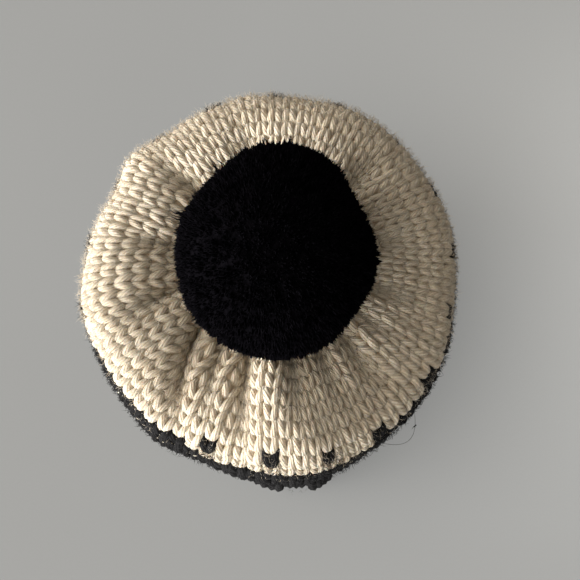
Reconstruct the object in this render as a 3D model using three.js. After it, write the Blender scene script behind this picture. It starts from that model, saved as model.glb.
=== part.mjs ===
import * as THREE from "three";

// Knitted winter hat with a pompom, standing on its rim.
// Millimetres, +Z up, origin under the middle of the hat's box, on the surface it stands on.
// Clock angles are degrees seen from above: 0 at the back (+Y), 90 at the right (+X), 180 at the front.

// ---- driving sizes ----------------------------------------------------------
const KNIT = 5.0;          // thickness of the knitted wall
const GAP = 0.3;           // gap between neighbouring pieces
const ROW = 5.0;           // height of one knitted row
const BRIM_ROWS = 10;      // ribbed rows above the rim
const CROWN_ROWS = 14;     // rows from the gathered centre down to the dotted row
const EDGE_ROW = 2.2;      // tight row under the dots, next to the black band
const GATHER_RADIUS = 4.0; // the innermost row, drawn tight
const AXIS = { x: 0.48, y: 6.60 };    // the wall's middle in plan
const GATHER = { x: 1.0, y: 4.0 };  // how far the gathered centre sits off that middle
const CREASE_CLOCK = 172.6;         // storage crease down the front of the wall

const POMPOM = { x: 1.5, y: 2.6, z: 169.0, half_width: 34.7, half_depth: 37.0, up: 34.0, down: 32.8, flatness: 2.3 };

const STEPS = { brim_round: 60, crown_round: 90, brim: 4, band: 5, crown: 14, pompom_round: 28, pompom_up: 14 };

// ---- tables -----------------------------------------------------------------
// Section through the wall, along the middle of the knit, from the rim to the gathered centre.
const SECTION = [
  { name: "rim",       radius: 69.4, height: 0.0 },
  { name: "brim_mid",  radius: 68.6, height: 24.0 },
  { name: "brim_top",  radius: 68.8, height: 48.0 },
  { name: "band_low",  radius: 69.2, height: 75.0 },
  { name: "band_mid",  radius: 69.5, height: 100.0 },
  { name: "band_top",  radius: 69.2, height: 120.0 },
  { name: "edge_low",  radius: 68.5, height: 132.0 },
  { name: "shoulder",  radius: 66.3, height: 140.4 },
  { name: "edge_top",  radius: 61.6, height: 145.0 },
  { name: "top",       radius: 56.0, height: 146.4 },
  { name: "dish_edge", radius: 47.0, height: 145.8 },
  { name: "dish_out",  radius: 36.0, height: 141.6 },
  { name: "dish",      radius: 24.0, height: 136.6 },
  { name: "dish_in",   radius: 12.0, height: 133.2 },
  { name: "gather",    radius: 4.0,  height: 132.0 },
  { name: "centre",    radius: 0.0,  height: 131.8 },
];

// Where the plan of the crown's edge stands out from its circle, or is dented.
const OUTLINE = [
  { clock: CREASE_CLOCK, out: 4.6,  spread: 22 },
  { clock: 30,           out: 1.6,  spread: 14 },
  { clock: 95,           out: -2.0, spread: 16 },
  { clock: 216,          out: 1.7,  spread: 9 },
  { clock: 262,          out: 1.6,  spread: 9 },
  { clock: 297,          out: -2.0, spread: 8 },
  { clock: 310,          out: 2.0,  spread: 6.5 },
  { clock: 325,          out: -1.6, spread: 9 },
  { clock: 352,          out: 1.2,  spread: 7 },
];

// The rim spreads at the front, with the storage crease as its corner.
const RIM_SPREAD = { out: 9.0, spread: 26 };
const RIM_CREASE = { out: 5.0, spread: 12, blunt: 2 };

// Soft dents in the standing wall: clock and length up the knit from the rim, depth, and half widths.
const WALL_DENTS = [
  { clock: 20,  up: 92, depth: 2.0,  spread: 24, tall: 30 },
  { clock: 62,  up: 45, depth: -1.4, spread: 18, tall: 30 },
  { clock: 112, up: 68, depth: 2.6,  spread: 20, tall: 32 },
  { clock: 205, up: 72, depth: 1.8,  spread: 12, tall: 34 },
  { clock: 240, up: 88, depth: -1.2, spread: 16, tall: 28 },
  { clock: 292, up: 58, depth: 2.4,  spread: 22, tall: 34 },
  { clock: 224, up: 120, depth: -1.0, spread: 20, tall: 18 },
];

// Valleys that the gathering draws into the crown: clock at the pompom and at the edge,
// depth, half width in degrees, and how far from the centre the valley has died away.
const FOLDS = [
  { inner: 18,  outer: 18,  depth: 2.6, spread: 5.5, reach: 58 },
  { inner: 43,  outer: 40,  depth: 5.0, spread: 5.5, reach: 66 },
  { inner: 60,  outer: 58,  depth: 2.0, spread: 5.0, reach: 56 },
  { inner: 76,  outer: 72,  depth: 3.2, spread: 6.0, reach: 62 },
  { inner: 101, outer: 98,  depth: 3.0, spread: 6.0, reach: 62 },
  { inner: 120, outer: 120, depth: 2.4, spread: 5.0, reach: 58 },
  { inner: 137, outer: 140, depth: 4.6, spread: 5.5, reach: 66 },
  { inner: 154, outer: 154, depth: 2.4, spread: 5.0, reach: 58 },
  { inner: 171, outer: 171, depth: 3.6, spread: 5.0, reach: 66 },
  { inner: 196, outer: 188, depth: 5.5, spread: 5.0, reach: 80 },
  { inner: 213, outer: 201, depth: 4.0, spread: 4.5, reach: 72 },
  { inner: 231, outer: 210, depth: 9.0, spread: 5.5, reach: 80 },
  { inner: 258, outer: 250, depth: 6.0, spread: 5.0, reach: 66 },
  { inner: 272, outer: 270, depth: 3.0, spread: 4.0, reach: 56 },
  { inner: 284, outer: 281, depth: 5.5, spread: 5.0, reach: 64 },
  { inner: 300, outer: 298, depth: 2.0, spread: 4.0, reach: 54 },
  { inner: 316, outer: 313, depth: 6.0, spread: 5.5, reach: 68 },
  { inner: 331, outer: 330, depth: 2.2, spread: 4.5, reach: 54 },
  { inner: 348, outer: 348, depth: 4.6, spread: 5.5, reach: 64 },
];
const FOLD_BAND = { rise_from: 14, rise_to: 30, full_to: 34, inner_at: 36, outer_at: 70 };

// The rows sit a little lower at the back and sides than at the front.
const ROW_LEAN = [
  { clock: 82,  down: 3.7 },
  { clock: 112, down: 1.6 },
  { clock: 140, down: -0.6 },
  { clock: 164, down: -4.2 },
  { clock: 180, down: -6.2 },
  { clock: 205, down: -4.2 },
  { clock: 225, down: -3.4 },
  { clock: 245, down: -0.4 },
  { clock: 262, down: 7.0 },
  { clock: 310, down: 8.2 },
  { clock: 352, down: 5.6 },
];

// The storage crease runs on over the crown as a soft ridge in front and behind: clock at the pompom
// and at the edge, rise, and half width in degrees. Between the ridges the crown sinks.
const RIDGES = [
  { inner: 180, outer: 168, rise: 9.0, spread: 24 },
  { inner: 14,  outer: 24,  rise: 4.5, spread: 34 },
];
const RIDGE_BAND = { blunt: 5, sink: 3.0, rise_from: 16, rise_to: 40, fall_from: 58, fall_to: 84 };

// The right side of the crown slumps: its edge sinks and its dish is shallow.
const SLUMP = { clock: 108, spread: 55, sink: 10.0, fill: 3.0, edge_from: 28, edge_to: 64, full_height: 146 };
const SLUMP_DISH = { rise_from: 14, rise_to: 34, fall_from: 40, fall_to: 62 };

// Flats and swells of the pompom's trimmed outline.
const LUMPS = [
  { clock: 62,  out: -3.2, spread: 22 },
  { clock: 128, out: -1.6, spread: 14 },
  { clock: 232, out: 0.8,  spread: 16 },
  { clock: 315, out: -2.6, spread: 24 },
];

// ---- helpers ----------------------------------------------------------------
const smooth = (a, b, x) => THREE.MathUtils.smoothstep(x, a, b);
const turn = (a, b) => THREE.MathUtils.euclideanModulo(a - b + 180, 360) - 180;
const bell = (clock, row) => row.out * Math.exp(-((turn(clock, row.clock) / row.spread) ** 2));

// The section as a smooth line, looked up by the length along the knit from the rim.
const line = new THREE.SplineCurve(SECTION.map((p) => new THREE.Vector2(p.radius, p.height)));
const samples = line.getPoints(40 * (SECTION.length - 1));
const lengths = [0];
for (let i = 1; i < samples.length; i++) lengths.push(lengths[i - 1] + samples[i].distanceTo(samples[i - 1]));
const TOTAL = lengths[lengths.length - 1];

function along(s) {
  let i = 1;
  while (i < samples.length - 1 && lengths[i] < s) i++;
  const t = (s - lengths[i - 1]) / (lengths[i] - lengths[i - 1]);
  const p = new THREE.Vector2().lerpVectors(samples[i - 1], samples[i], t);
  const d = new THREE.Vector2().subVectors(samples[i], samples[i - 1]).normalize();
  return { r: p.x, z: p.y, nr: d.y, nz: -d.x };
}

function rowLean(clock) {
  for (let i = 0; i < ROW_LEAN.length; i++) {
    const a = ROW_LEAN[i], b = ROW_LEAN[(i + 1) % ROW_LEAN.length];
    const t = THREE.MathUtils.euclideanModulo(clock - a.clock, 360) / THREE.MathUtils.euclideanModulo(b.clock - a.clock, 360);
    if (t <= 1) return THREE.MathUtils.lerp(a.down, b.down, smooth(0, 1, t));
  }
  return 0;
}

function foldDepth(clock, fromCentre) {
  const rise = smooth(FOLD_BAND.rise_from, FOLD_BAND.rise_to, fromCentre);
  let depth = 0;
  for (const f of FOLDS) {
    const out = THREE.MathUtils.clamp((fromCentre - FOLD_BAND.inner_at) / (FOLD_BAND.outer_at - FOLD_BAND.inner_at), -0.4, 1.3);
    const at = f.inner + turn(f.outer, f.inner) * out;
    depth += f.depth * Math.exp(-((turn(clock, at) / f.spread) ** 2)) * (1 - smooth(FOLD_BAND.full_to, f.reach, fromCentre));
  }
  return depth * rise;
}

function ridgeRise(clock, fromCentre) {
  const out = THREE.MathUtils.clamp((fromCentre - FOLD_BAND.inner_at) / (FOLD_BAND.outer_at - FOLD_BAND.inner_at), -0.4, 1.3);
  let rise = -RIDGE_BAND.sink;
  for (const row of RIDGES) {
    const d = turn(clock, row.inner + turn(row.outer, row.inner) * out);
    rise += row.rise * Math.exp(-(Math.hypot(d, RIDGE_BAND.blunt) - RIDGE_BAND.blunt) / row.spread);
  }
  return rise * smooth(RIDGE_BAND.rise_from, RIDGE_BAND.rise_to, fromCentre) * (1 - smooth(RIDGE_BAND.fall_from, RIDGE_BAND.fall_to, fromCentre));
}

function slump(clock, fromCentre, height) {
  const share = Math.exp(-((turn(clock, SLUMP.clock) / SLUMP.spread) ** 2));
  const edge = smooth(SLUMP.edge_from, SLUMP.edge_to, fromCentre) * height / SLUMP.full_height;
  const dish = smooth(SLUMP_DISH.rise_from, SLUMP_DISH.rise_to, fromCentre) * (1 - smooth(SLUMP_DISH.fall_from, SLUMP_DISH.fall_to, fromCentre));
  return share * (SLUMP.fill * dish - SLUMP.sink * edge);
}

// A point of the wall: clock angle, length along the knit from the rim, distance out from the middle of the knit.
function place(clock, s, out) {
  const p = along(s);
  const fromCentre = TOTAL - s;
  const lift = out - foldDepth(clock, fromCentre);
  const edge = OUTLINE.reduce((sum, row) => sum + bell(clock, row), 0);
  const edgeShare = fromCentre > 78 ? smooth(75, 124, s) : Math.min(1, p.r / 69) ** 1.6;
  const d = Math.abs(turn(clock, CREASE_CLOCK));
  const rim = RIM_SPREAD.out * Math.exp(-((d / RIM_SPREAD.spread) ** 2))
    + RIM_CREASE.out * Math.exp(-(Math.hypot(d, RIM_CREASE.blunt) - RIM_CREASE.blunt) / RIM_CREASE.spread);
  const rimShare = 1 - smooth(20, 110, s);
  const drawn = 1 - smooth(20, 72, fromCentre);
  const dent = WALL_DENTS.reduce((sum, row) => sum
    + row.depth * Math.exp(-((turn(clock, row.clock) / row.spread) ** 2) - ((s - row.up) / row.tall) ** 2), 0);
  const r = p.r + edge * edgeShare + rim * rimShare - dent + p.nr * lift;
  const a = THREE.MathUtils.degToRad(clock);
  const z = s === 0 ? 0 : p.z + p.nz * lift + ridgeRise(clock, fromCentre) + slump(clock, fromCentre, p.z);
  return new THREE.Vector3(
    AXIS.x + r * Math.sin(a) + GATHER.x * drawn,
    AXIS.y + r * Math.cos(a) + GATHER.y * drawn,
    z,
  );
}

function closedGeometry(points, triangles) {
  const geometry = new THREE.BufferGeometry();
  geometry.setAttribute("position", new THREE.Float32BufferAttribute(points.flatMap((p) => [p.x, p.y, p.z]), 3));
  geometry.setIndex(triangles);
  geometry.computeVertexNormals();
  return geometry;
}

// A ring of knitted wall between two edges, each a function of the clock angle.
// With a closing depth, the upper edge is gathered shut over the centre.
function wall(lower, upper, up, round, gathered) {
  const points = [], triangles = [];
  const at = (side, i, j) => (side * (up + 1) + i) * round + (j % round);
  for (const side of [0.5, -0.5]) {
    for (let i = 0; i <= up; i++) {
      for (let j = 0; j < round; j++) {
        const clock = CREASE_CLOCK + (360 * j) / round;
        points.push(place(clock, THREE.MathUtils.lerp(lower(clock), upper(clock), i / up), side * KNIT));
      }
    }
  }
  const quad = (a, b, c, d) => triangles.push(a, b, c, a, c, d);
  for (let j = 0; j < round; j++) {
    for (let i = 0; i < up; i++) {
      quad(at(0, i, j), at(0, i + 1, j), at(0, i + 1, j + 1), at(0, i, j + 1));
      quad(at(1, i, j), at(1, i, j + 1), at(1, i + 1, j + 1), at(1, i + 1, j));
    }
    quad(at(0, 0, j), at(0, 0, j + 1), at(1, 0, j + 1), at(1, 0, j));
    if (!gathered) quad(at(0, up, j), at(1, up, j), at(1, up, j + 1), at(0, up, j + 1));
  }
  if (gathered) {
    const caps = [0.5, -0.5].map((side) => points.push(place(0, TOTAL, side * KNIT)) - 1);
    for (let j = 0; j < round; j++) {
      triangles.push(caps[0], at(0, up, j + 1), at(0, up, j));
      triangles.push(caps[1], at(1, up, j), at(1, up, j + 1));
    }
  }
  return closedGeometry(points, triangles);
}

// The pompom: a trimmed ball, a little deeper than wide, pressed flat where it sits on the crown.
function ball() {
  const points = [], triangles = [];
  const round = STEPS.pompom_round, up = STEPS.pompom_up;
  for (let i = 1; i < up; i++) {
    const lat = Math.PI * (i / up - 0.5);
    const reach = Math.cos(lat);
    for (let j = 0; j < round; j++) {
      const clock = (360 * j) / round, a = THREE.MathUtils.degToRad(clock);
      const swell = LUMPS.reduce((sum, row) => sum + bell(clock, row), 0) * reach;
      const shape = lat < 0 ? (1 - reach ** POMPOM.flatness) ** (1 / POMPOM.flatness) : Math.sin(lat);
      points.push(new THREE.Vector3(
        AXIS.x + POMPOM.x + (POMPOM.half_width * reach + swell) * Math.sin(a),
        AXIS.y + POMPOM.y + (POMPOM.half_depth * reach + swell) * Math.cos(a),
        POMPOM.z + (lat < 0 ? -POMPOM.down * shape : POMPOM.up * shape),
      ));
    }
  }
  const low = points.push(new THREE.Vector3(AXIS.x + POMPOM.x, AXIS.y + POMPOM.y, POMPOM.z - POMPOM.down)) - 1;
  const high = points.push(new THREE.Vector3(AXIS.x + POMPOM.x, AXIS.y + POMPOM.y, POMPOM.z + POMPOM.up)) - 1;
  const at = (i, j) => (i - 1) * round + (j % round);
  for (let j = 0; j < round; j++) {
    for (let i = 1; i < up - 1; i++) {
      triangles.push(at(i, j), at(i + 1, j), at(i + 1, j + 1), at(i, j), at(i + 1, j + 1), at(i, j + 1));
    }
    triangles.push(low, at(1, j), at(1, j + 1));
    triangles.push(high, at(up - 1, j + 1), at(up - 1, j));
  }
  return closedGeometry(points, triangles);
}

// ---- the hat ----------------------------------------------------------------
const hat = new THREE.Group();
function add(name, geometry, color, roughness) {
  const mesh = new THREE.Mesh(geometry, new THREE.MeshStandardMaterial({ color, roughness, metalness: 0 }));
  mesh.name = name;
  hat.add(mesh);
}

const brimTop = BRIM_ROWS * ROW;
const bandTop = (clock) => TOTAL - (GATHER_RADIUS + CROWN_ROWS * ROW + EDGE_ROW + rowLean(clock));

add("brim", wall(() => 0, () => brimTop - GAP / 2, STEPS.brim, STEPS.brim_round, false), 0x17171a, 0.95);
add("band", wall(() => brimTop + GAP / 2, (c) => bandTop(c) - GAP / 2, STEPS.band, STEPS.crown_round, false), 0x18181b, 0.95);
add("crown", wall((c) => bandTop(c) + GAP / 2, () => TOTAL - GATHER_RADIUS, STEPS.crown, STEPS.crown_round, true), 0xe6dac4, 0.9);
add("pompom", ball(), 0x101013, 0.95);

export default hat;
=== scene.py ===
import math
import bpy
import numpy as np
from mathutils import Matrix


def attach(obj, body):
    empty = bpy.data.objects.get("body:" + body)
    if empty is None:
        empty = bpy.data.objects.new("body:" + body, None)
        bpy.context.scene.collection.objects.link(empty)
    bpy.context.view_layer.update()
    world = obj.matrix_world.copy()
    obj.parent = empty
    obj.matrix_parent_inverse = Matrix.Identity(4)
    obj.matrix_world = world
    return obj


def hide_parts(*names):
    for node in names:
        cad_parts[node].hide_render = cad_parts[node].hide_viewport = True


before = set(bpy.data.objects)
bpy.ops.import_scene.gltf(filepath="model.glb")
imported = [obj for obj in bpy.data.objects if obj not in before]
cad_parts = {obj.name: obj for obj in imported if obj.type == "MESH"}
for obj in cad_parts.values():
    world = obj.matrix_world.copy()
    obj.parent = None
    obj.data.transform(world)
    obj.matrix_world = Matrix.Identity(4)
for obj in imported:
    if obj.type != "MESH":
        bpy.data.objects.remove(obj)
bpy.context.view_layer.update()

# Knitted winter hat with a pompom: every course of yarn, the ribbed rim, the colourwork
# border, the pompom's cut ends and the fuzz. Lengths are millimetres until a mesh is made.
RNG = np.random.default_rng(20417)
MM = 0.001

# ---- the hat's surface -------------------------------------------------------
ROW = 5.0
BRIM_ROWS, BAND_ROWS, CROWN_ROWS = 10, 16, 14
EDGE_ROW = 2.2
GATHER_RADIUS = 4.0
AXIS = (0.48, 6.60)
GATHER = (1.0, 4.0)
CREASE = 172.6
SECTION = [
    (69.4, 0.0), (68.6, 24.0), (68.8, 48.0), (69.2, 75.0), (69.5, 100.0), (69.2, 120.0), (68.5, 132.0),
    (66.3, 140.4), (61.6, 145.0), (56.0, 146.4), (47.0, 145.8), (36.0, 141.6), (24.0, 136.6), (12.0, 133.2), (4.0, 132.0), (0.0, 131.8)]
# clock, out, spread
OUTLINE = [
    (CREASE, 4.6, 22), (30, 1.6, 14), (95, -2.0, 16), (216, 1.7, 9), (262, 1.6, 9),
    (297, -2.0, 8), (310, 2.0, 6.5), (325, -1.6, 9), (352, 1.2, 7)]
# clock, length up from the rim, depth, spread, tall
DENTS = [
    (20, 92, 2.0, 24, 30), (62, 45, -1.4, 18, 30), (112, 68, 2.6, 20, 32),
    (205, 72, 1.8, 12, 34), (240, 88, -1.2, 16, 28), (292, 58, 2.4, 22, 34), (224, 120, -1.0, 20, 18)]
# inner clock, outer clock, depth, spread, reach
FOLDS = [
    (18, 18, 2.6, 5.5, 58), (43, 40, 5.0, 5.5, 66), (60, 58, 2.0, 5.0, 56), (76, 72, 3.2, 6.0, 62),
    (101, 98, 3.0, 6.0, 62), (120, 120, 2.4, 5.0, 58), (137, 140, 4.6, 5.5, 66), (154, 154, 2.4, 5.0, 58),
    (171, 171, 3.6, 5.0, 66), (196, 188, 5.5, 5.0, 80), (213, 201, 4.0, 4.5, 72), (231, 210, 9.0, 5.5, 80),
    (258, 250, 6.0, 5.0, 66), (272, 270, 3.0, 4.0, 56), (284, 281, 5.5, 5.0, 64), (300, 298, 2.0, 4.0, 54),
    (316, 313, 6.0, 5.5, 68), (331, 330, 2.2, 4.5, 54), (348, 348, 4.6, 5.5, 64)]
# clock, how far down the rows sit
LEAN = [(82, 3.7), (112, 1.6), (140, -0.6), (164, -4.2), (180, -6.2), (205, -4.2), (225, -3.4), (245, -0.4), (262, 7.0), (310, 8.2), (352, 5.6)]
# storage creases over the crown: inner clock, outer clock, rise, spread
RIDGES = [(180, 168, 9.0, 24), (14, 24, 4.5, 34)]
# the right side slumps: its edge sinks, and its dish is shallow
SLUMP = (108, 55, 10.0, 3.0)


def smooth(a, b, x):
    t = np.clip((x - a) / (b - a), 0, 1)
    return t * t * (3 - 2 * t)


def turn(a, b):
    return (a - b + 180) % 360 - 180


def spline(points, per):
    pts, n, out = np.asarray(points, float), len(points), []
    for k in range(per * (n - 1) + 1):
        i, w = k // per, (k % per) / per
        p0, p1 = pts[max(i - 1, 0)], pts[i]
        p2, p3 = pts[min(i + 1, n - 1)], pts[min(i + 2, n - 1)]
        v0, v1 = (p2 - p0) / 2, (p3 - p1) / 2
        out.append((2 * p1 - 2 * p2 + v0 + v1) * w**3 + (-3 * p1 + 3 * p2 - 2 * v0 - v1) * w**2 + v0 * w + p1)
    return np.array(out)


LINE = spline(SECTION, 40)
LENGTH = np.concatenate([[0], np.cumsum(np.linalg.norm(np.diff(LINE, axis=0), axis=1))])
TOTAL = LENGTH[-1]
SLOPE = np.gradient(LINE, LENGTH, axis=0)
SLOPE /= np.linalg.norm(SLOPE, axis=1)[:, None]


def row_lean(clock):
    out = np.zeros_like(clock)
    for (a, da), (b, db) in zip(LEAN, LEAN[1:] + LEAN[:1]):
        t = ((clock - a) % 360) / ((b - a) % 360)
        out = np.where(t <= 1, da + (db - da) * smooth(0, 1, t), out)
    return out


def fold_depth(clock, from_centre):
    at = np.clip((from_centre - 36) / 34, -0.4, 1.3)
    depth = np.zeros_like(clock)
    for inner, outer, deep, spread, reach in FOLDS:
        d = turn(clock, inner + turn(outer, inner) * at)
        depth = depth + deep * np.exp(-((d / spread) ** 2)) * (1 - smooth(34, reach, from_centre))
    return depth * smooth(14, 30, from_centre)


def ridge_rise(clock, from_centre):
    at = np.clip((from_centre - 36) / 34, -0.4, 1.3)
    rise = np.zeros_like(clock)
    for inner, outer, high, spread in RIDGES:
        d = turn(clock, inner + turn(outer, inner) * at)
        rise = rise + high * np.exp(-(np.hypot(d, 5) - 5) / spread)
    return (rise - 3.0) * smooth(16, 40, from_centre) * (1 - smooth(58, 84, from_centre))


def slump(clock, from_centre, z):
    at, spread, sink, fill = SLUMP
    share = np.exp(-((turn(clock, at) / spread) ** 2))
    edge = smooth(28, 64, from_centre) * z / 146
    dish = smooth(14, 34, from_centre) * (1 - smooth(40, 62, from_centre))
    return share * (fill * dish - sink * edge)


def place(clock, s, out=0.0):
    """A point of the hat: clock angle, length up the knit from the rim, distance out from its middle."""
    r, z = np.interp(s, LENGTH, LINE[:, 0]), np.interp(s, LENGTH, LINE[:, 1])
    nr, nz = np.interp(s, LENGTH, SLOPE[:, 1]), -np.interp(s, LENGTH, SLOPE[:, 0])
    from_centre = TOTAL - s
    lift = out - fold_depth(clock, from_centre)
    edge = sum(o * np.exp(-((turn(clock, c) / w) ** 2)) for c, o, w in OUTLINE)
    share = np.where(from_centre > 78, smooth(75, 124, s), np.clip(r / 69, 0, 1) ** 1.6)
    d = np.abs(turn(clock, CREASE))
    rim = 9.0 * np.exp(-((d / 26) ** 2)) + 5.0 * np.exp(-(np.hypot(d, 2) - 2) / 12)
    dent = sum(q * np.exp(-((turn(clock, c) / w) ** 2) - ((s - u) / t) ** 2) for c, u, q, w, t in DENTS)
    rr = r + edge * share + rim * (1 - smooth(20, 110, s)) - dent + nr * lift
    drawn = 1 - smooth(20, 72, from_centre)
    a = np.radians(clock)
    return np.stack([AXIS[0] + rr * np.sin(a) + GATHER[0] * drawn,
                     AXIS[1] + rr * np.cos(a) + GATHER[1] * drawn,
                     z + nz * lift + ridge_rise(clock, from_centre) + slump(clock, from_centre, z)], -1)


def unit(v):
    return v / (np.linalg.norm(v, axis=-1, keepdims=True) + 1e-12)


def normal(clock, s):
    du = place(clock + 0.4, s) - place(clock - 0.4, s)
    dv = place(clock, np.minimum(s + 0.5, TOTAL)) - place(clock, s - 0.5)
    return unit(np.cross(dv, du))


# ---- rows and wales ----------------------------------------------------------
WALES = 72
LAST = BRIM_ROWS + BAND_ROWS + 1 + CROWN_ROWS
RIM_LIFT = 1.9


def band_top(clock):
    return TOTAL - (GATHER_RADIUS + CROWN_ROWS * ROW + EDGE_ROW + row_lean(clock))


def height_of(clock, v):
    """Length up the knit of row coordinate v."""
    brim = RIM_LIFT + (v + 0.34) / (BRIM_ROWS + 0.34) * (BRIM_ROWS * ROW - RIM_LIFT)
    top = band_top(clock)
    band = BRIM_ROWS * ROW + (v - BRIM_ROWS) / BAND_ROWS * (top - BRIM_ROWS * ROW)
    over = v - BRIM_ROWS - BAND_ROWS
    dots = top + EDGE_ROW
    crown = np.where(over < 1, top + over * EDGE_ROW, dots + (over - 1) / CROWN_ROWS * (TOTAL - GATHER_RADIUS - dots))
    return np.where(v < BRIM_ROWS, brim, np.where(v < BRIM_ROWS + BAND_ROWS, band, crown))


RIDGE_WIDTH = 5.5
V_GRID = np.arange(-1.0, LAST + 0.01, 0.5)
U_STEP = 0.125
U_GRID = np.arange(0, WALES + U_STEP / 2, U_STEP)


NEAR = np.exp(-0.5 * (np.arange(361) * np.radians(11)) ** 2)


def wale_table():
    """Clock angle of every wale on every row: full width on the ridges, crowded in the valleys."""
    fine = np.arange(0, 360, 0.5)
    rows = []
    for v in V_GRID:
        s = height_of(fine, np.full_like(fine, v))
        p = place(fine, s, 1.0)
        d = np.linalg.norm(np.roll(p, -1, 0) - p, axis=1)
        depth = fold_depth(fine + 0.25, TOTAL - s)
        need = d / RIDGE_WIDTH
        extra = WALES - need.sum()
        spread = d * (0.3 + 0.55 * depth)
        if extra > 0:
            dens = need + extra * spread / spread.sum()
        else:
            dens = need * WALES / need.sum()
        # each valley draws in only its neighbours
        around = np.fft.irfft(np.fft.rfft(dens) * NEAR, len(fine))
        dens = dens / around
        dens = dens * (1 + 0.30 * np.exp(-((turn(fine, 164) / 13) ** 2)) - 0.22 * np.exp(-((turn(fine, 128) / 18) ** 2)))
        dens = dens * WALES / dens.sum()
        cum = np.concatenate([[0], np.cumsum(dens)])
        edges = np.append(fine, 360.0)
        cum = cum - np.mean(cum[:-1] - WALES * (fine + 1.5) / 360)
        u = np.concatenate([cum[:-1] - WALES, cum[:-1], cum + WALES])
        c = np.concatenate([edges[:-1] - 360, edges[:-1], edges + 360])
        rows.append(np.interp(U_GRID, u, c))
    return np.array(rows)


WALE_CLOCK = wale_table()


def clock_of(u, v):
    turns = np.floor(u / WALES)
    x = (u - turns * WALES) / U_STEP
    y = np.clip((v - V_GRID[0]) / 0.5, 0, len(V_GRID) - 1.001)
    i, j = np.floor(x).astype(int), np.floor(y).astype(int)
    i = np.minimum(i, len(U_GRID) - 2)
    a, b = x - i, y - j
    t = WALE_CLOCK
    lo = t[j, i] * (1 - a) + t[j, i + 1] * a
    hi = t[j + 1, i] * (1 - a) + t[j + 1, i + 1] * a
    return lo * (1 - b) + hi * b + 360 * turns


# ---- meshes ------------------------------------------------------------------
def signed_volume(verts, tris):
    a, b, c = verts[tris[:, 0]], verts[tris[:, 1]], verts[tris[:, 2]]
    return np.einsum("ij,ij->i", a, np.cross(b, c)).sum() / 6


class Parts:
    """Gathers closed bodies into the arrays of one mesh."""

    def __init__(self):
        self.verts, self.quads, self.tris, self.uvq, self.uvt, self.tone, self.n = [], [], [], [], [], [], 0

    def add(self, verts, quads, tris, uvq=None, uvt=None, tone=None):
        quads = np.asarray(quads, int).reshape(-1, 4)
        tris = np.asarray(tris, int).reshape(-1, 3)
        uvq = np.zeros((len(quads), 4, 2)) if uvq is None else uvq
        uvt = np.zeros((len(tris), 3, 2)) if uvt is None else uvt
        split = np.concatenate([quads[:, [0, 1, 2]], quads[:, [0, 2, 3]], tris])
        if signed_volume(verts - verts.mean(0), split) < 0:
            quads, uvq = quads[:, ::-1], uvq[:, ::-1]
            tris, uvt = tris[:, ::-1], uvt[:, ::-1]
        self.verts.append(verts)
        self.quads.append(quads + self.n)
        self.tris.append(tris + self.n)
        self.uvq.append(uvq)
        self.uvt.append(uvt)
        self.tone.append(np.zeros(len(verts)) if tone is None else tone)
        self.n += len(verts)

    def make(self, name, material, slot, *nodes):
        verts = np.concatenate(self.verts) * MM
        quads, tris = np.concatenate(self.quads), np.concatenate(self.tris)
        loops = np.concatenate([quads.ravel(), tris.ravel()]).astype(np.int32)
        starts = np.concatenate([np.arange(len(quads)) * 4, len(quads) * 4 + np.arange(len(tris)) * 3]).astype(np.int32)
        me = bpy.data.meshes.new(name)
        me.vertices.add(len(verts))
        me.vertices.foreach_set("co", verts.astype(np.float32).ravel())
        me.loops.add(len(loops))
        me.loops.foreach_set("vertex_index", loops)
        me.polygons.add(len(starts))
        me.polygons.foreach_set("loop_start", starts)
        me.update(calc_edges=True)
        me.polygons.foreach_set("use_smooth", np.ones(len(starts), bool))
        uv = me.uv_layers.new(name="yarn")
        both = np.concatenate([np.concatenate(self.uvq).reshape(-1, 2), np.concatenate(self.uvt).reshape(-1, 2)])
        uv.data.foreach_set("uv", both.astype(np.float32).ravel())
        # the depth tone of each point, which sets how much painted shade the yarn materials give it
        tone = me.attributes.new("deep", "FLOAT", "POINT")
        tone.data.foreach_set("value", np.concatenate(self.tone).astype(np.float32))
        me.validate()
        me.materials.append(material)
        o = bpy.data.objects.new(name, me)
        bpy.context.scene.collection.objects.link(o)
        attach(o, "root")
        if nodes:
            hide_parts(*nodes)
        print(name, 2 * len(quads) + len(tris), "triangles")
        return o


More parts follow.
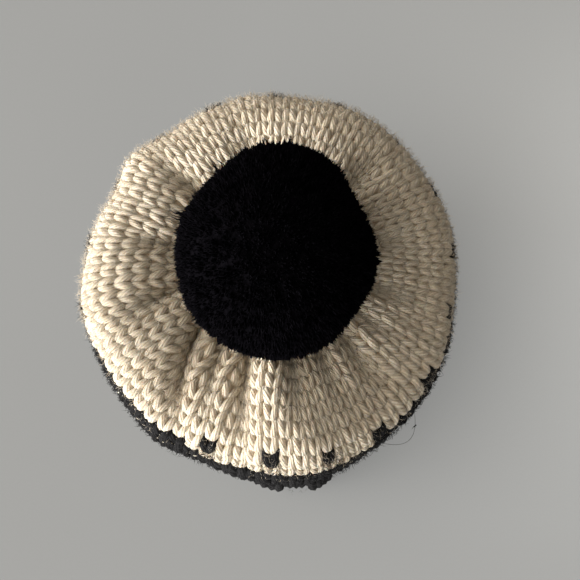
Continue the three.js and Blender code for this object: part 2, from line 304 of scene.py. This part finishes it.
def tube(parts, path, up, radius, sides, closed, deep=None, start=0.0):
    """A round yarn along a path. up is the knit's outward direction, deep the path's depth below its face, which sets
    the painted shade on the yarn.
    """
    n = len(path)
    if closed:
        t = np.roll(path, -1, 0) - np.roll(path, 1, 0)
        step = np.linalg.norm(np.roll(path, -1, 0) - path, axis=1)
        length = start + np.concatenate([[0], np.cumsum(step)])
    else:
        t = np.gradient(path, axis=0)
        step = np.linalg.norm(np.diff(path, axis=0), axis=1)
        length = start + np.concatenate([[0], np.cumsum(step)])
    t = unit(t)
    e1 = unit(up - np.einsum("ij,ij->i", up, t)[:, None] * t)
    e2 = np.cross(t, e1)
    th = 2 * np.pi * np.arange(sides) / sides
    ring = np.cos(th)[None, :, None] * e1[:, None] + np.sin(th)[None, :, None] * e2[:, None]
    verts = (path[:, None] + radius[:, None, None] * ring).reshape(-1, 3)
    # painted shade: the deeper a part of the yarn lies below the knit's face, the more it takes its material's shade
    # colour
    tone = None
    if deep is not None:
        lift = radius[:, None] * np.einsum("ijk,ik->ij", ring, up)
        tone = np.clip((2.7 - (deep[:, None] + lift)) / 5.4, 0, 1).ravel()
    i = np.arange(n if closed else n - 1)
    k = np.arange(sides)
    a, b = i[:, None] * sides + k, i[:, None] * sides + (k + 1) % sides
    c, d = ((i[:, None] + 1) % n) * sides + (k + 1) % sides, ((i[:, None] + 1) % n) * sides + k
    quads = np.stack([a, b, c, d], -1).reshape(-1, 4)
    la, lb = length[i][:, None] + 0 * k, length[i + 1][:, None] + 0 * k
    ka, kb = (k / sides)[None] + 0 * la, ((k + 1) / sides)[None] + 0 * la
    uvq = np.stack([np.stack([la, ka], -1), np.stack([la, kb], -1), np.stack([lb, kb], -1), np.stack([lb, ka], -1)], 2)
    uvq = uvq.reshape(-1, 4, 2)
    tris, uvt = np.zeros((0, 3), int), np.zeros((0, 3, 2))
    if not closed:
        lo, hi = len(verts), len(verts) + 1
        ends = path[[0, -1]] + t[[0, -1]] * np.array([[-0.5], [0.5]]) * radius[[0, -1]][:, None]
        verts = np.concatenate([verts, ends])
        last = (n - 1) * sides
        tris = np.concatenate([
            np.stack([np.full(sides, lo), (k + 1) % sides, k], -1),
            np.stack([np.full(sides, hi), last + k, last + (k + 1) % sides], -1)])
        uvt = np.zeros((len(tris), 3, 2))
        uvt[:sides, :, 0], uvt[sides:, :, 0] = length[0], length[-1]
        # the cut ends take most of the painted shade colour
        if tone is not None:
            tone = np.append(tone, [0.6, 0.6])
    parts.add(verts, quads, tris, uvq, uvt, tone)


def shell(parts, clock, s, out_a, out_b, gathered=False):
    """A thin closed wall between two offsets. clock and s are grids [up, round]."""
    nu, nr = clock.shape
    nrm = normal(clock, s)
    base = place(clock, s)
    verts = np.concatenate([(base + nrm * out_a[..., None]).reshape(-1, 3), (base + nrm * out_b[..., None]).reshape(-1, 3)])
    at = lambda side, i, j: side * nu * nr + i * nr + j % nr
    i, j = np.meshgrid(np.arange(nu - 1), np.arange(nr), indexing="ij")
    i, j = i.ravel(), j.ravel()
    jj = np.arange(nr)
    quads = [np.stack([at(0, i, j), at(0, i + 1, j), at(0, i + 1, j + 1), at(0, i, j + 1)], -1),
             np.stack([at(1, i, j), at(1, i, j + 1), at(1, i + 1, j + 1), at(1, i + 1, j)], -1),
             np.stack([at(0, 0, jj), at(0, 0, jj + 1), at(1, 0, jj + 1), at(1, 0, jj)], -1)]
    tris = np.zeros((0, 3), int)
    top = nu - 1
    if gathered:
        caps = verts.reshape(2, nu, nr, 3)[:, top].mean(1)
        verts = np.concatenate([verts, caps])
        c0, c1 = np.full(nr, len(verts) - 2), np.full(nr, len(verts) - 1)
        tris = np.concatenate([np.stack([c0, at(0, top, jj + 1), at(0, top, jj)], -1),
                               np.stack([c1, at(1, top, jj), at(1, top, jj + 1)], -1)])
    else:
        quads.append(np.stack([at(0, top, jj), at(1, top, jj), at(1, top, jj + 1), at(0, top, jj + 1)], -1))
    # the wall takes the painted shade colour in full
    parts.add(verts, np.concatenate(quads), tris, tone=np.full(len(verts), 0.70))


# ---- materials ---------------------------------------------------------------
class Nodes:
    def __init__(self, name):
        self.mat = bpy.data.materials.new(name)
        self.mat.use_nodes = True
        self.tree = self.mat.node_tree
        self.tree.nodes.clear()
        self.out = self.add("ShaderNodeOutputMaterial")
        self.bsdf = self.add("ShaderNodeBsdfPrincipled")
        self.link(self.bsdf.outputs[0], self.out.inputs[0])

    def add(self, kind, **values):
        n = self.tree.nodes.new(kind)
        for k, v in values.items():
            setattr(n, k, v)
        return n

    def link(self, a, b):
        self.tree.links.new(a, b)

    def math(self, op, a, b=None, c=None, clamp=False):
        n = self.add("ShaderNodeMath", operation=op, use_clamp=clamp)
        for i, x in enumerate((a, b, c)):
            if x is None:
                continue
            if hasattr(x, "is_output"):
                self.link(x, n.inputs[i])
            else:
                n.inputs[i].default_value = x
        return n.outputs[0]

    def noise(self, vector, scale, detail=2.0, rough=0.5):
        n = self.add("ShaderNodeTexNoise")
        n.inputs["Scale"].default_value = scale
        n.inputs["Detail"].default_value = detail
        n.inputs["Roughness"].default_value = rough
        self.link(vector, n.inputs["Vector"])
        return n.outputs[0]

    def ramp(self, fac, *stops):
        n = self.add("ShaderNodeValToRGB")
        els = n.color_ramp.elements
        while len(els) < len(stops):
            els.new(0.5)
        for e, (p, c) in zip(els, stops):
            e.position = p
            e.color = (*c, 1)
        self.link(fac, n.inputs[0])
        return n.outputs[0]

    def mix(self, kind, fac, a, b):
        n = self.add("ShaderNodeMix", data_type="RGBA", blend_type=kind)
        for sock, x in ((n.inputs[0], fac), (n.inputs[6], a), (n.inputs[7], b)):
            if hasattr(x, "is_output"):
                self.link(x, sock)
            elif isinstance(x, tuple):
                sock.default_value = (*x, 1)
            else:
                sock.default_value = x
        return n.outputs[2]

    def set(self, **values):
        for k, v in values.items():
            self.bsdf.inputs[k.replace("_", " ")].default_value = v


def yarn(name, face, dark, deep, plies, pitch, sheen, sheen_tint, bump, glow=0.0):
    """Plied wool: twist lines along the yarn with painted shade in the ply grooves, fine fibres, uneven dye, and
    painted shade deep between the stitches.
    """
    m = Nodes(name)
    uv = m.add("ShaderNodeUVMap", uv_map="yarn")
    xyz = m.add("ShaderNodeSeparateXYZ")
    m.link(uv.outputs[0], xyz.inputs[0])
    length, around = xyz.outputs[0], xyz.outputs[1]
    twist = m.math("ADD", m.math("MULTIPLY", around, float(plies)), m.math("MULTIPLY", length, 1.0 / pitch))
    ply = m.math("ABSOLUTE", m.math("SINE", m.math("MULTIPLY", twist, math.pi)))
    strand = m.add("ShaderNodeCombineXYZ")
    m.link(m.math("MULTIPLY", length, 0.22), strand.inputs[0])
    m.link(m.math("MULTIPLY", m.math("FRACT", m.math("MULTIPLY", twist, 1.0 / plies)), 14.0), strand.inputs[1])
    fibre = m.noise(strand.outputs[0], 2.4, 3.0, 0.6)
    place_at = m.add("ShaderNodeTexCoord")
    mottle = m.noise(place_at.outputs["Object"], 95.0, 3.0, 0.6)
    fine = m.noise(place_at.outputs["Object"], 900.0, 2.0, 0.6)
    # painted shade: the grooves between the plies are coloured darker; the fibre noise makes the tone uneven
    tone = m.math("ADD", m.math("MULTIPLY", ply, 0.62), m.math("MULTIPLY", fibre, 0.70), clamp=True)
    col = m.ramp(tone, (0.12, dark), (0.75, face))
    # painted shade: the deeper the yarn lies, the more it takes the deep shade colour
    att = m.add("ShaderNodeAttribute", attribute_name="deep", attribute_type="GEOMETRY")
    shade_share = m.math("MULTIPLY", m.math("SUBTRACT", att.outputs["Fac"], 0.16), 2.0, clamp=True)
    col = m.mix("MIX", shade_share, col, deep)
    shade = m.ramp(mottle, (0.3, (0.86, 0.83, 0.79)), (0.62, (1.0, 1.0, 1.0)))
    col = m.mix("MULTIPLY", 0.7, col, shade)
    grain = m.noise(place_at.outputs["Object"], 1900.0, 3.0, 0.7)
    col = m.mix("MULTIPLY", 1.0, col, m.ramp(grain, (0.34, (0.80, 0.78, 0.75)), (0.62, (1.0, 1.0, 1.0))))
    m.link(col, m.bsdf.inputs["Base Color"])
    rough = m.math("ADD", m.math("MULTIPLY", fine, 0.2), 0.74)
    m.link(rough, m.bsdf.inputs["Roughness"])
    height = m.math("ADD", m.math("MULTIPLY", ply, 0.55),
                    m.math("ADD", m.math("MULTIPLY", fibre, 0.8), m.math("MULTIPLY", fine, 0.25)))
    b = m.add("ShaderNodeBump")
    b.inputs["Strength"].default_value = bump
    b.inputs["Distance"].default_value = 0.0005
    m.link(height, b.inputs["Height"])
    m.link(b.outputs[0], m.bsdf.inputs["Normal"])
    if glow:
        m.set(Subsurface_Weight=glow, Subsurface_Radius=(1.0, 0.72, 0.46), Subsurface_Scale=0.0012)
    m.set(Specular_IOR_Level=0.15, Sheen_Weight=sheen, Sheen_Roughness=0.45, Sheen_Tint=(*sheen_tint, 1))
    return m.mat


# colours: the face, the painted shade of the ply grooves, and the painted shade deep between the stitches
CREAM = yarn("cream_wool", (0.88, 0.795, 0.66), (0.62, 0.52, 0.39), (0.66, 0.54, 0.395), 8, 2.3, 0.10, (1.0, 0.95, 0.86), 1.0, 0.3)
BLACK = yarn("black_wool", (0.012, 0.012, 0.0134), (0.0045, 0.0045, 0.0054), (0.003, 0.003, 0.0036), 8, 2.3, 0.035, (0.8, 0.8, 0.85), 0.9)


def cut_wool(name, face, dark):
    m = Nodes(name)
    place_at = m.add("ShaderNodeTexCoord")
    clump = m.noise(place_at.outputs["Object"], 260.0, 2.0, 0.55)
    fleck = m.noise(place_at.outputs["Object"], 1500.0, 2.0, 0.7)
    tone = m.math("ADD", m.math("MULTIPLY", clump, 0.55), m.math("MULTIPLY", fleck, 0.45))
    col = m.ramp(tone, (0.36, dark), (0.60, face))
    m.link(col, m.bsdf.inputs["Base Color"])
    m.link(m.math("ADD", m.math("MULTIPLY", fleck, 0.15), 0.85), m.bsdf.inputs["Roughness"])
    b = m.add("ShaderNodeBump")
    b.inputs["Strength"].default_value = 0.5
    b.inputs["Distance"].default_value = 0.0003
    m.link(fleck, b.inputs["Height"])
    m.link(b.outputs[0], m.bsdf.inputs["Normal"])
    m.set(Specular_IOR_Level=0.0, Sheen_Weight=0.004, Sheen_Roughness=0.5, Sheen_Tint=(0.75, 0.78, 0.95, 1))
    return m.mat


POM = cut_wool("pompom_wool", (0.0041, 0.0037, 0.0049), (0.0007, 0.0007, 0.0009))


# ---- knitted yarn ------------------------------------------------------------
# Half a stitch from the foot up a leg to the head: across (wales), up (rows), out (1 is the face).
HALF = [
    (0.000, -0.34, -1.00), (0.200, -0.28, -0.80), (0.340, -0.08, 0.00), (0.362, 0.18, 0.74),
    (0.268, 0.52, 1.00), (0.172, 0.86, 0.86), (0.118, 1.14, 0.15), (0.240, 1.36, -0.70), (0.500, 1.42, -1.00)]
HALF_PLAIN = [HALF[i] for i in (0, 2, 3, 4, 5, 6, 8)]
FACE_OUT = 1.38
YARN = 1.60


def stitch(half):
    a = np.array(half)
    b = a[::-1][1:-1] * [-1, 1, 1] + [1, 0, 0]
    return np.concatenate([a, b])


JIT = RNG.normal(0, 1, (LAST + 1, WALES, 4))


def rib(u):
    return np.tanh(4.0 * np.sin(np.pi * u / 2))


def course(i, half, wales=None):
    """Path, outward direction, radius and depth of row i, for all wales or a run of them."""
    st = stitch(half)
    js = np.arange(WALES) if wales is None else np.asarray(wales)
    q = len(st)
    u_rel, v_rel, n_rel = np.tile(st, (len(js), 1)).T
    j = np.repeat(js, q)
    if wales is not None:
        u_rel, v_rel, n_rel, j = (np.append(x, y) for x, y in
                                  ((u_rel, 0.0), (v_rel, st[0, 1]), (n_rel, st[0, 2]), (j, js[-1] + 1)))
    win = np.clip(v_rel + 0.34, 0, 1)
    jit = JIT[i, j % WALES]
    u = j + u_rel + 0.042 * jit[:, 0] * win
    v = i + v_rel + 0.055 * jit[:, 1] * win
    out = FACE_OUT * n_rel
    if i < BRIM_ROWS + 1:
        plain = smooth(9.4, 10.3, v)
        sign = rib(u) * (1 - plain) + plain
        out = out * sign + 1.5 * rib(u) * (1 - smooth(8.6, 10.6, v))
    out = out + 0.20 * jit[:, 2] * win
    clock = clock_of(u, v)
    s = height_of(clock, v)
    nrm = normal(clock, s)
    width = np.linalg.norm(place(clock_of(u + 0.5, v), s) - place(clock_of(u - 0.5, v), s), axis=1)
    path = place(clock, s) + nrm * out[:, None]
    radius = YARN * (0.80 + 0.28 * smooth(-0.3, 0.95, n_rel)) * np.clip(width / 5.9, 0.62, 1.08) * (1 + 0.07 * jit[:, 3] * win)
    path[:, 2] = np.maximum(path[:, 2], radius + 0.05)
    return path, nrm, radius, out


DOTS, EDGE, SOLID, SPOTS = 27, 26, 25, 24
TOP_CROWN = 37


def knit_rows(rows, parts, half, sides):
    for i in rows:
        path, nrm, radius, out = course(i, half)
        tube(parts, path, nrm, radius, sides, True, out)


def knit_runs(i, colour_of, half, sides, by_colour, slack=None):
    """A row in two colours: each run of stitches is a length of its own yarn. A slack colour sits low and thin."""
    colours = [colour_of(j) for j in range(WALES)]
    first = next(j for j in range(WALES) if colours[j] != colours[j - 1])
    j = first
    while j < first + WALES:
        k = j
        while k + 1 < first + WALES and colours[(k + 1) % WALES] == colours[j % WALES]:
            k += 1
        path, nrm, radius, out = course(i, half, list(range(j, k + 1)))
        if colours[j % WALES] == slack:
            path, radius = path - 0.4 * nrm, radius * 0.76
        tube(by_colour[colours[j % WALES]], path, nrm, radius, sides, False, out)
        j = k + 1


cream_a, cream_b, crown_black = Parts(), Parts(), Parts()
knit_rows(range(31, TOP_CROWN + 1), cream_a, HALF, 9)
knit_rows(range(28, 31), cream_b, HALF, 9)
AT = [clock_of(np.array([j + 0.5]), np.array([27.5]))[0] % 360 for j in range(WALES)]
knit_runs(EDGE, lambda j: "black" if 104 < AT[j] < 150 or 206 < AT[j] < 247 else "cream", HALF, 9,
          {"black": crown_black, "cream": cream_b})
knit_runs(DOTS, lambda j: "black" if j % 4 == 0 and not 206 < AT[j] < 254 else "cream", HALF, 9,
          {"black": crown_black, "cream": cream_b})

band_a, band_b, band_cream = Parts(), Parts(), Parts()
knit_rows(range(18, SPOTS), band_a, HALF_PLAIN, 6)
knit_runs(SOLID, lambda j: "cream" if 247 < AT[j] < 270 else "black", HALF_PLAIN, 7, {"black": band_a, "cream": band_cream})
knit_runs(SPOTS, lambda j: "cream" if j % 2 == 1 and not 166 < AT[j] < 187 else "black", HALF_PLAIN, 8, {"black": band_a, "cream": band_cream}, "cream")
knit_rows(range(BRIM_ROWS, 18), band_b, HALF_PLAIN, 5)
brim = Parts()
knit_rows(range(0, BRIM_ROWS), brim, HALF_PLAIN, 6)


# the knit's body between its front and back loops, so that no gap looks through; it is given its yarn's painted shade
# colour
def backing(parts, v0, v1, up, round_, level, gathered=False, ribbed=False):
    v, c = np.meshgrid(np.linspace(v0, v1, up), np.arange(round_) * 360 / round_, indexing="ij")
    s = height_of(c, v)
    mid = np.full_like(s, level)
    if ribbed:
        mid = mid + 1.5 * rib((c + 1.5) / 5) * (1 - smooth(8.6, 10.6, v))
    shell(parts, c, s, mid + 0.35, mid - 0.35, gathered)


backing(cream_b, 26.1, LAST, 30, 216, 0.6, gathered=True)
backing(band_b, 10.1, 26.0, 14, 120, -0.5)
backing(brim, -0.6, 10.0, 12, 288, -0.35, ribbed=True)

cream_a.make("crown_knit_upper", CREAM, "cream_yarn", "crown")
cream_b.make("crown_knit_lower", CREAM, "cream_yarn", "crown")
crown_black.make("crown_dots", BLACK, "black_yarn", "crown")
band_a.make("band_knit_upper", BLACK, "black_yarn", "band")
band_b.make("band_knit_lower", BLACK, "black_yarn", "band")
band_cream.make("band_dots", CREAM, "cream_yarn", "band")
brim.make("brim_rib", BLACK, "black_yarn", "brim")

# ---- pompom ------------------------------------------------------------------
POM_AT = np.array([AXIS[0] + 1.5, AXIS[1] + 2.6, 169.0])
POM_W, POM_D, POM_UP, POM_DOWN, POM_FLAT = 34.7, 37.0, 34.0, 32.8, 2.3
STRAYS = [(0.16, 321, 5.0, 6), (0.14, 289, 3.6, 7), (0.2, 352, 2.0, 6), (0.2, 8, 1.8, 5), (0.15, 40, 1.6, 5), (0.15, 205, 2.0, 6), (0.15, 158, 1.6, 5)]
LUMPS = [(62, -3.2, 22), (128, -1.6, 14), (232, 0.8, 16), (315, -2.6, 24)]


def pom(lat, clock, scale=1.0):
    reach = np.cos(lat)
    swell = sum(o * np.exp(-((turn(clock, c) / w) ** 2)) for c, o, w in LUMPS) * reach
    low = -POM_DOWN * np.clip(1 - reach**POM_FLAT, 0, 1) ** (1 / POM_FLAT)
    z = np.where(lat < 0, low, POM_UP * np.sin(lat))
    a = np.radians(clock)
    p = np.stack([(POM_W * reach + swell) * np.sin(a), (POM_D * reach + swell) * np.cos(a), z], -1)
    return POM_AT + p * scale if np.isscalar(scale) else POM_AT + p * scale[..., None]


def fibres(parts, base, mid, tip, r0, r1, blunt=True):
    """Closed three-sided strands: base, bend and tip."""
    n = len(base)
    d = unit(tip - base)
    side = unit(np.cross(d, unit(RNG.normal(0, 1, (n, 3)))))
    other = np.cross(d, side)
    th = 2 * np.pi * np.arange(3) / 3
    ring = np.cos(th)[None, :, None] * side[:, None] + np.sin(th)[None, :, None] * other[:, None]
    verts = np.concatenate([base[:, None] + r0[:, None, None] * ring, mid[:, None] + r1[:, None, None] * ring, tip[:, None]], 1)
    o = np.arange(n)[:, None, None] * 7
    k = np.arange(3)
    quads = np.stack([k, (k + 1) % 3, 3 + (k + 1) % 3, 3 + k], -1)[None] + o
    tris = np.concatenate([np.array([[2, 1, 0]]), np.stack([3 + k, 3 + (k + 1) % 3, np.full(3, 6)], -1)])[None] + o
    parts.add(verts.reshape(-1, 3), quads.reshape(-1, 4), tris.reshape(-1, 3))


def pom_core(parts, scale):
    lats, rounds = 26, 44
    lat, clock = np.meshgrid(np.linspace(-np.pi / 2, np.pi / 2, lats + 2)[1:-1], np.arange(rounds) * 360 / rounds, indexing="ij")
    p = pom(lat, clock, scale + 0.012 * RNG.normal(0, 1, lat.shape)).reshape(-1, 3)
    verts = np.concatenate([p, pom(np.array([-np.pi / 2, np.pi / 2]), np.array([0.0, 0.0]), scale)])
    j = np.arange(rounds)
    i, jj = (x.ravel() for x in np.meshgrid(np.arange(lats - 1), j, indexing="ij"))
    at = lambda a, b: a * rounds + b % rounds
    quads = np.stack([at(i, jj), at(i, jj + 1), at(i + 1, jj + 1), at(i + 1, jj)], -1)
    lo, hi = np.full(rounds, len(p)), np.full(rounds, len(p) + 1)
    tris = np.concatenate([np.stack([lo, at(0, j + 1), at(0, j)], -1), np.stack([hi, at(lats - 1, j), at(lats - 1, j + 1)], -1)])
    parts.add(verts, quads, tris)


def pom_ends(parts, ends, per, first):
    """Trimmed yarn ends: small tufts of strands, evenly spread over the ball."""
    k = np.arange(ends) + first
    lat = np.arcsin(1 - 2 * k / ends)
    clock = np.degrees(np.pi * (1 + 5**0.5) * k) % 360 + RNG.normal(0, 1.0, ends)
    reach = 0.985 + RNG.normal(0, 0.004, ends)
    lean = RNG.normal(0, 1, (ends, 3))
    lat, clock, reach = (np.repeat(x, per) for x in (lat, clock, reach))
    lean = np.repeat(lean, per, 0)
    n = len(lat)
    lat = np.clip(lat + RNG.normal(0, 0.022, n), -1.55, 1.55)
    clock = clock + RNG.normal(0, 1.3, n) / np.maximum(np.cos(lat), 0.15)
    base = pom(lat, clock, 0.88)
    tip = pom(lat, clock, np.clip(reach + RNG.normal(0, 0.005, n), 0.95, 1.01))
    tip = tip + 0.4 * lean + RNG.normal(0, 0.30, (n, 3))
    mid = base * 0.3 + tip * 0.7 + RNG.normal(0, 0.35, (n, 3))
    keep = tip[:, 2] > 138.0
    base, mid, tip = base[keep], mid[keep], tip[keep]
    n = len(base)
    fibres(parts, base, mid, tip, np.full(n, 0.26), RNG.uniform(0.24, 0.36, n))


def pom_strays(parts, spots):
    """A few ends that the trimming missed."""
    lat, clock, out, count = (np.array(x, float) for x in zip(*spots))
    count = count.astype(int)
    lat, clock, out = (np.repeat(x, count) for x in (lat, clock, out))
    n = len(lat)
    lat, clock = lat + RNG.normal(0, 0.02, n), clock + RNG.normal(0, 0.9, n)
    base = pom(lat, clock, 0.93)
    tip = pom(lat, clock, 1 + out / 35.0 * RNG.uniform(0.5, 1.0, n)) + RNG.normal(0, 0.5, (n, 3))
    mid = (base + tip) / 2 + RNG.normal(0, 0.5, (n, 3))
    fibres(parts, base, mid, tip, np.full(n, 0.34), np.full(n, 0.32))


pm = Parts()
pom_core(pm, 0.932)
pom_strays(pm, STRAYS)
pom_ends(pm, 1900, 6, 0.5)
pm.make("pompom_wool_a", POM, "pompom_yarn", "pompom")
pm = Parts()
pom_ends(pm, 1900, 6, 0.02)
pm.make("pompom_wool_b", POM, "pompom_yarn", "pompom")


# ---- fuzz --------------------------------------------------------------------
def fuzz(parts, count, v0, v1, low, high, thick, lie=(0.0, 0.65), clocks=(0, 360), start=2.2):
    v = RNG.uniform(v0, v1, count)
    c = RNG.uniform(*clocks, count) % 360
    s = height_of(c, v)
    nrm = normal(c, s)
    base = place(c, s) + nrm * start
    side = unit(np.cross(nrm, unit(RNG.normal(0, 1, (count, 3)))))
    length = RNG.uniform(low, high, count)[:, None] * RNG.uniform(0.4, 1.0, count)[:, None]
    rise = RNG.uniform(*lie, count)[:, None]
    mid = base + length * 0.55 * unit(nrm * rise * 1.4 + side)
    tip = mid + length * 0.55 * unit(nrm * rise * RNG.uniform(-0.6, 0.9, count)[:, None] + side + 0.6 * unit(RNG.normal(0, 1, (count, 3))))
    fibres(parts, base, mid, tip, np.full(count, thick), np.full(count, thick * 0.9))


fz = Parts()
fuzz(fz, 3800, 28.2, 37, 2.0, 6.0, 0.040)
fuzz(fz, 2600, 27.3, 30.2, 1.4, 4.2, 0.065, (0.8, 2.6), (215, 470), 2.9)
fuzz(fz, 1800, 25.3, 27.6, 0.8, 2.2, 0.055, (0.2, 1.2))
fuzz(fz, 4600, 27.4, 31, 1.5, 4.5, 0.036, (0.5, 2.2), (0, 360), 2.9)
fz.make("fuzz_cream", CREAM, "cream_yarn")
fz = Parts()
fuzz(fz, 1500, 0.5, 24, 1.5, 5.0, 0.032)
fuzz(fz, 2600, 24.0, 27.8, 1.0, 3.0, 0.036)
fuzz(fz, 3400, 24.2, 26.9, 1.0, 3.0, 0.075, (0.5, 2.4), (0, 360), 2.9)
for j in (0, 4, 52, 56, 60, 64, 68):
    fuzz(fz, 110, 27.2, 28.7, 1.6, 4.6, 0.075, (0.6, 2.2), (AT[j] - 2.4, AT[j] + 2.4))
for j in (28, 32, 36, 40):
    fuzz(fz, 110, 26.3, 27.9, 0.9, 2.4, 0.085, (0.1, 0.8), (AT[j] - 3.0, AT[j] + 3.0), 3.0)
# one long loose hair off the front right edge, with a little lint on it
along = np.linspace(0, 1, 24)
hair = 133 + 14 * along
path = place(hair, height_of(hair, np.full(24, 25.4)), 3.0 + 6.0 * np.sin(np.pi * along))
tube(fz, path, np.tile([0.0, 0.0, 1.0], (24, 1)), np.full(24, 0.07), 3, False)
fuzz(fz, 16, 25.2, 25.7, 0.8, 2.0, 0.09, (0.0, 0.6), (136.0, 137.3), 6.8)
fz.make("fuzz_black", BLACK, "black_yarn")

# ---- stage -------------------------------------------------------------------
def floor():
    m = Nodes("floor_paper_and_painted_light")
    at = m.add("ShaderNodeTexCoord")
    wide = m.noise(at.outputs["Object"], 3.0, 2.0, 0.5)
    grain = m.noise(at.outputs["Object"], 900.0, 2.0, 0.6)
    tone = m.math("ADD", m.math("MULTIPLY", wide, 0.7), m.math("MULTIPLY", grain, 0.3))
    col = m.ramp(tone, (0.3, (0.614, 0.637, 0.652)), (0.7, (0.654, 0.679, 0.695)))
    # painted light: a pool of lighter floor to the right of the hat, which lifts the hat's shadow there
    away = m.add("ShaderNodeVectorMath", operation="DISTANCE")
    m.link(at.outputs["Object"], away.inputs[0])
    away.inputs[1].default_value = (0.20, 0.055, 0.0)
    painted_light_pool = m.math("EXPONENT", m.math("MULTIPLY", m.math("POWER", m.math("MULTIPLY", away.outputs["Value"], 1 / 0.145), 2.0), -1.0))
    col = m.mix("MULTIPLY", 1.0, col, m.ramp(painted_light_pool, (0.0, (0.402, 0.402, 0.402)), (1.0, (0.665, 0.665, 0.665))))
    m.link(col, m.bsdf.inputs["Base Color"])
    m.set(Roughness=0.9, Specular_IOR_Level=0.1)
    size = 4.0
    me = bpy.data.meshes.new("floor")
    me.from_pydata([(-size, -size, 0), (size, -size, 0), (size, size, 0), (-size, size, 0)], [], [(0, 1, 2, 3)])
    me.materials.append(m.mat)
    o = bpy.data.objects.new("floor", me)
    bpy.context.scene.collection.objects.link(o)


floor()
ROOM, WALL = 0.255, 2.35
world = bpy.data.worlds.new("room")
bpy.context.scene.world = world
world.use_nodes = True
room = world.node_tree
sky = room.nodes["Background"]
sky.inputs[0].default_value = (1.0, 0.918, 0.815, 1)
# the room is lighter towards the window's side and darker in front and to the right
toward = room.nodes.new("ShaderNodeVectorMath")
toward.operation = "DOT_PRODUCT"
toward.inputs[1].default_value = (-0.94, -0.14, 0.31)
way = room.nodes.new("ShaderNodeTexCoord")
room.links.new(way.outputs["Generated"], toward.inputs[0])
level = room.nodes.new("ShaderNodeMath")
level.operation = "MULTIPLY_ADD"
level.inputs[1].default_value, level.inputs[2].default_value = ROOM * 0.90, ROOM
room.links.new(toward.outputs["Value"], level.inputs[0])
# and the wall beside the window is lit by it
near, lobe, both = (room.nodes.new("ShaderNodeMath") for _ in range(3))
near.operation, lobe.operation, both.operation = "MAXIMUM", "POWER", "MULTIPLY_ADD"
near.inputs[1].default_value, lobe.inputs[1].default_value, both.inputs[1].default_value = 0.0, 3.0, WALL
room.links.new(toward.outputs["Value"], near.inputs[0])
room.links.new(near.outputs[0], lobe.inputs[0])
room.links.new(lobe.outputs[0], both.inputs[0])
room.links.new(level.outputs[0], both.inputs[2])
room.links.new(both.outputs[0], sky.inputs[1])


def window(name, at, target, wide, tall, power, colour, shadow=True):
    light = bpy.data.lights.new(name, "AREA")
    light.shape, light.size, light.size_y = "RECTANGLE", wide, tall
    light.energy, light.color = power, colour
    light.use_shadow = shadow
    o = bpy.data.objects.new(name, light)
    bpy.context.scene.collection.objects.link(o)
    o.location = at
    from mathutils import Vector
    o.rotation_euler = (Vector(target) - Vector(at)).to_track_quat("-Z", "Y").to_euler()
    return o


window("window", (-17.2, -10.0, 3.0), (0, 0, 0.12), 31.0, 7.4, 11500.0, (1.0, 0.99, 0.97))
# light bounced round the room on to the floor alone, which thins the shadow
veil = window("bounce", (-17.2, -10.0, 3.0), (0, 0, 0.12), 31.0, 7.4, 18000.0, (1.0, 0.98, 0.95), False)
ground = bpy.data.collections.new("ground")
ground.objects.link(bpy.data.objects["floor"])
veil.light_linking.receiver_collection = ground


cam = bpy.data.cameras.new("camera")
cam.sensor_width, cam.lens = 36.0, 52.76
cam.clip_start, cam.clip_end = 0.01, 50
camera = bpy.data.objects.new("camera", cam)
bpy.context.scene.collection.objects.link(camera)
camera.location = (0.00627, -0.05302, 0.4470)
camera.rotation_euler = (math.radians(10), 0, 0)
bpy.context.scene.camera = camera
bpy.context.scene.view_settings.view_transform = "Standard"
